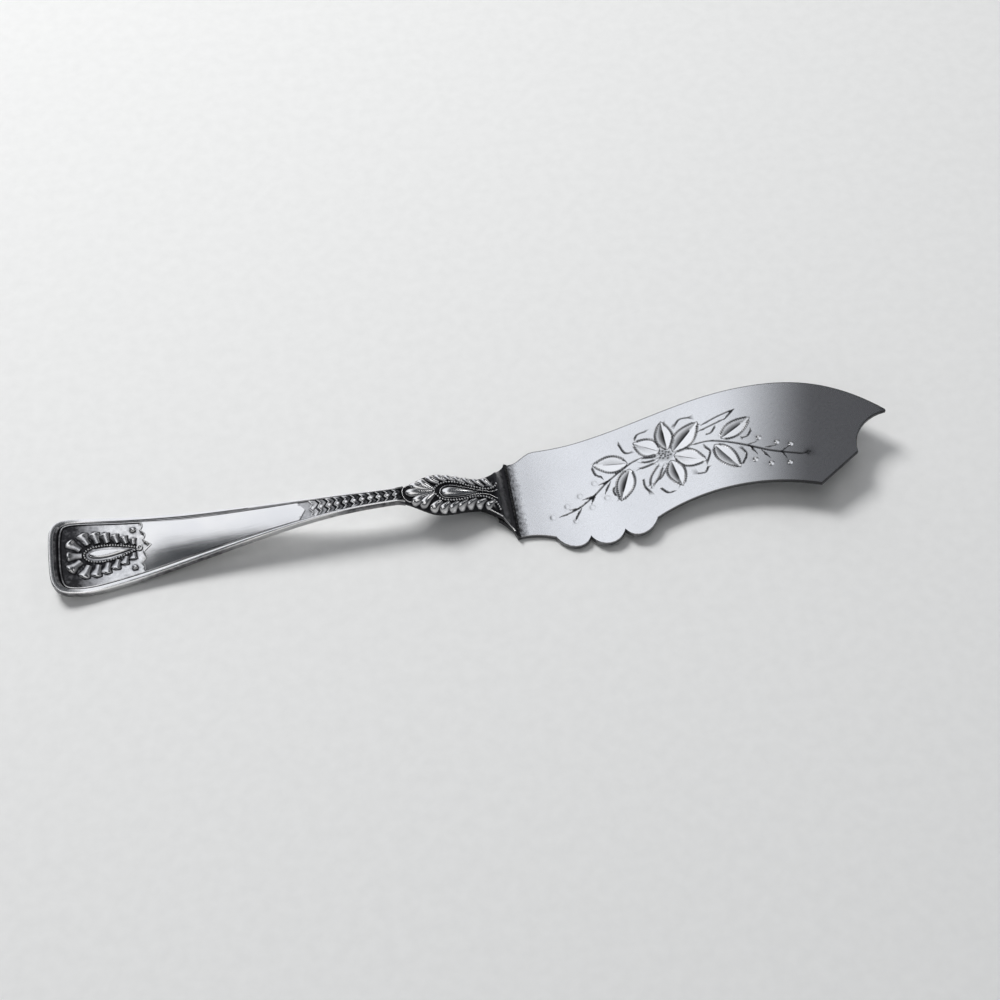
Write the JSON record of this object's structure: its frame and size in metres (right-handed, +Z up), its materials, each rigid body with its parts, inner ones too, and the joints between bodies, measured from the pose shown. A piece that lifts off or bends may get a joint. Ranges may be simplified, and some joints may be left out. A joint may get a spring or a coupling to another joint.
{
  "type": "pie server",
  "caption": "Flat silver server with a tapering ornamented handle, slim neck and a broad engraved blade with a scalloped lower edge and a notched point, for cutting and lifting food.",
  "frame": {"origin": "on the table, on the handle's axis, under the line where the handle's shoulder ends on the blade", "axes": "+X from the handle to the blade's point, +Y towards the blade's smooth back, +Z up out of the engraved face"},
  "size_m": [0.1904, 0.0339, 0.009],
  "materials": {
    "handle_silver": "struck silver, polished high spots and dark oxidised recesses",
    "blade_silver": "satin silver with bright-cut engraving",
    "solder": "tarnished silver solder"
  },
  "bodies": {
    "root": {"handle": "handle_silver", "blade": "blade_silver", "solder_seam": "solder"}
  },
  "joints": []
}
